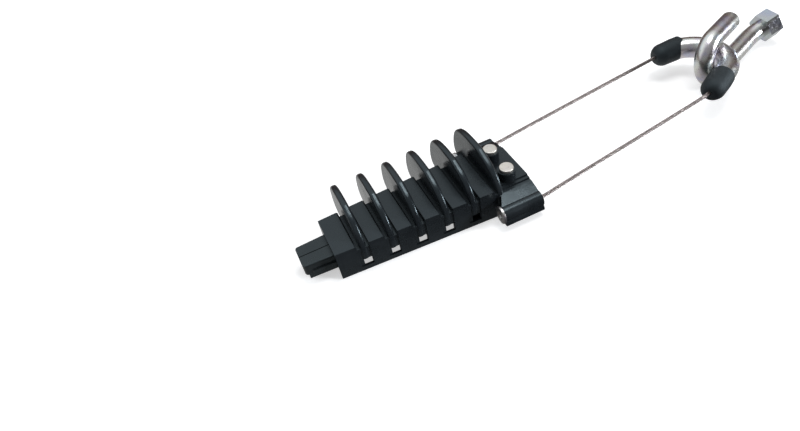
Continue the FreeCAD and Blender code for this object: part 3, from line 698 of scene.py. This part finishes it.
def thread_tree():
    """A ridge wound along +Z from the origin, one turn for each pitch."""
    tree, sheet, given, wanted = geometry_tree("Screw thread", {
        "Radius": "NodeSocketFloat", "Pitch": "NodeSocketFloat", "Length": "NodeSocketFloat",
        "Ridge": "NodeSocketFloat"})
    coil = sheet.add("GeometryNodeCurveSpiral")
    sheet.feed(THREAD_STEPS, coil.inputs["Resolution"])
    sheet.feed(sheet.maths("DIVIDE", given["Length"], given["Pitch"]), coil.inputs["Rotations"])
    sheet.feed(given["Radius"], coil.inputs["Start Radius"])
    sheet.feed(given["Radius"], coil.inputs["End Radius"])
    sheet.feed(given["Length"], coil.inputs["Height"])
    upright = sheet.add("GeometryNodeSetCurveNormal", mode="Z_UP")
    sheet.feed(coil.outputs["Curve"], upright.inputs["Curve"])
    ridge = sheet.tube(upright.outputs["Curve"], sheet.circle(RIDGE_SIDES, given["Ridge"]))
    end_geometry(sheet, ridge, NUT_ZINC_PAINTED_SHADE, wanted["Geometry"])
    return tree


def nut_thread():
    """Thread ridge standing in from the wall of the hexagon's hole."""
    mounts = {mount["name"]: mount for mount in frame["record"]["mounts"]}
    hole = mounts["hook_thread"]
    draft = new_object("thread_draft", bpy.data.meshes.new("thread_draft"))
    piece = grown(draft, "hook_thread", thread_tree(), {
        "Radius": hole["dims"]["r_mm"] * MM, "Pitch": THREAD_PITCH,
        "Length": hole["dims"]["length_mm"] * MM - 2 * THREAD_PITCH, "Ridge": THREAD_DEPTH})
    inward = -Vector(hole["axis"]).normalized()
    turn = inward.to_track_quat("Z", "Y").to_matrix().to_4x4()
    piece.data.transform(Matrix.Translation(Vector(hole["pos_m"]) + inward * THREAD_PITCH) @ turn)
    give_finish(piece, NUT_ZINC_PAINTED_SHADE)
    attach(piece, body_name("hook_nut"))


nut_thread()


# Floor, light and camera

def pale_floor():
    """A white floor that keeps the shadow, and shows shiny parts a painted reflection: a glowing
    pale band, and darkness as painted shade.
    """
    mesh = bpy.data.meshes.new("floor")
    corners = [(-1, -1), (1, -1), (1, 1), (-1, 1)]
    height = FLOOR_Z - FLOOR_GAP
    mesh.from_pydata([(x * FLOOR_HALF, y * FLOOR_HALF, height) for x, y in corners], [],
                     [(0, 1, 2, 3)])
    floor = new_object("floor", mesh)
    material, sheet, shader = new_material("Pale floor", metallic=0.0)
    sheet.feed(FLOOR_PAINT, shader["Base Color"])
    sheet.feed(FLOOR_ROUGHNESS, shader["Roughness"])
    sheet.feed(WHITE, shader["Emission Color"])
    ray = sheet.add("ShaderNodeLightPath").outputs
    glow = sheet.maths("MULTIPLY", ray["Is Camera Ray"], FLOOR_GLOW)
    sheet.feed(glow, shader["Emission Strength"])
    depth = sheet.remap(sheet.split(sheet.place("Object"))["Y"], low=FLOOR_NEAR_Y, high=FLOOR_FAR_Y)
    # Painted reflection: a glow that only shiny parts see, dark in front as painted shadow and pale
    # further back
    painted_reflection = sheet.add("ShaderNodeEmission")
    sheet.feed(sheet.ramp(depth, FLOOR_PAINTED_REFLECTION), painted_reflection.inputs["Color"])
    in_shine = sheet.maths("MAXIMUM", ray["Is Glossy Ray"], ray["Is Transmission Ray"])
    tree = material.node_tree.nodes
    sheet.either_shader(in_shine, tree["Principled BSDF"].outputs["BSDF"],
                        painted_reflection.outputs["Emission"], tree["Material Output"].inputs["Surface"])
    mesh.materials.append(material)


def studio_world():
    """White to the camera, and the room's shades to every other ray."""
    world = bpy.data.worlds.new("Studio")
    world.use_nodes = True
    scene.world = world
    tree = world.node_tree.nodes
    sheet = Sheet(world.node_tree)
    way = sheet.split(sheet.place("Generated"))
    level = sheet.maths("SUBTRACT", way["Z"], sheet.maths("MULTIPLY", way["X"], SKY_LEAN))
    strength = sheet.remap(way["Y"], low=SKY_FRONT_Y, high=SKY_BACK_Y,
                           to_low=SKY_FRONT_STRENGTH, to_high=SKY_BACK_STRENGTH)
    sky = tree["Background"]
    sheet.feed(sheet.ramp(level, SKY_SHADES), sky.inputs["Color"])
    sheet.feed(strength, sky.inputs["Strength"])
    white = sheet.add("ShaderNodeBackground")
    sheet.feed(WHITE, white.inputs["Color"])
    to_camera = sheet.add("ShaderNodeLightPath").outputs["Is Camera Ray"]
    sheet.either_shader(to_camera, sky.outputs["Background"], white.outputs["Background"],
                        tree["World Output"].inputs["Surface"])


def new_lamp(name, kind, towards, energy):
    """A lamp whose light comes from the given direction."""
    lamp = bpy.data.lights.new(name, kind)
    lamp.energy = energy
    holder = new_object(name, lamp)
    holder.rotation_mode = "QUATERNION"
    holder.rotation_quaternion = towards.to_track_quat("Z", "Y")
    return holder


def soft_lamp():
    holder = new_lamp("Key", "AREA", KEY_PLACE - KEY_AIM, KEY_POWER)
    holder.location = KEY_PLACE
    holder.data.shape = "RECTANGLE"
    holder.data.size = KEY_WIDTH
    holder.data.size_y = KEY_DEPTH


def window_light():
    """Light from a distant window, the same on every part of the object."""
    holder = new_lamp("Window", "SUN", WINDOW_WAY, WINDOW_STRENGTH)
    holder.data.angle = math.radians(WINDOW_SOFTNESS)
    holder.data.color = WINDOW_COLOUR


def studio_camera():
    azimuth = math.radians(CAMERA_AZIMUTH)
    elevation = math.radians(CAMERA_ELEVATION)
    back = Vector((math.sin(azimuth) * math.cos(elevation), -math.cos(azimuth) * math.cos(elevation),
                   math.sin(elevation)))
    data = bpy.data.cameras.new("Camera")
    data.sensor_width = CAMERA_SENSOR
    data.lens = CAMERA_LENS
    data.clip_start = CAMERA_NEAREST
    data.clip_end = CAMERA_FURTHEST
    camera = new_object("Camera", data)
    camera.location = CAMERA_PLACE
    camera.rotation_mode = "QUATERNION"
    level = back.to_track_quat("Z", "Y")
    camera.rotation_quaternion = level @ Quaternion(Vector((0, 0, 1)), math.radians(CAMERA_ROLL))
    scene.camera = camera


pale_floor()
studio_world()
soft_lamp()
window_light()
studio_camera()
scene.view_settings.view_transform = "Standard"
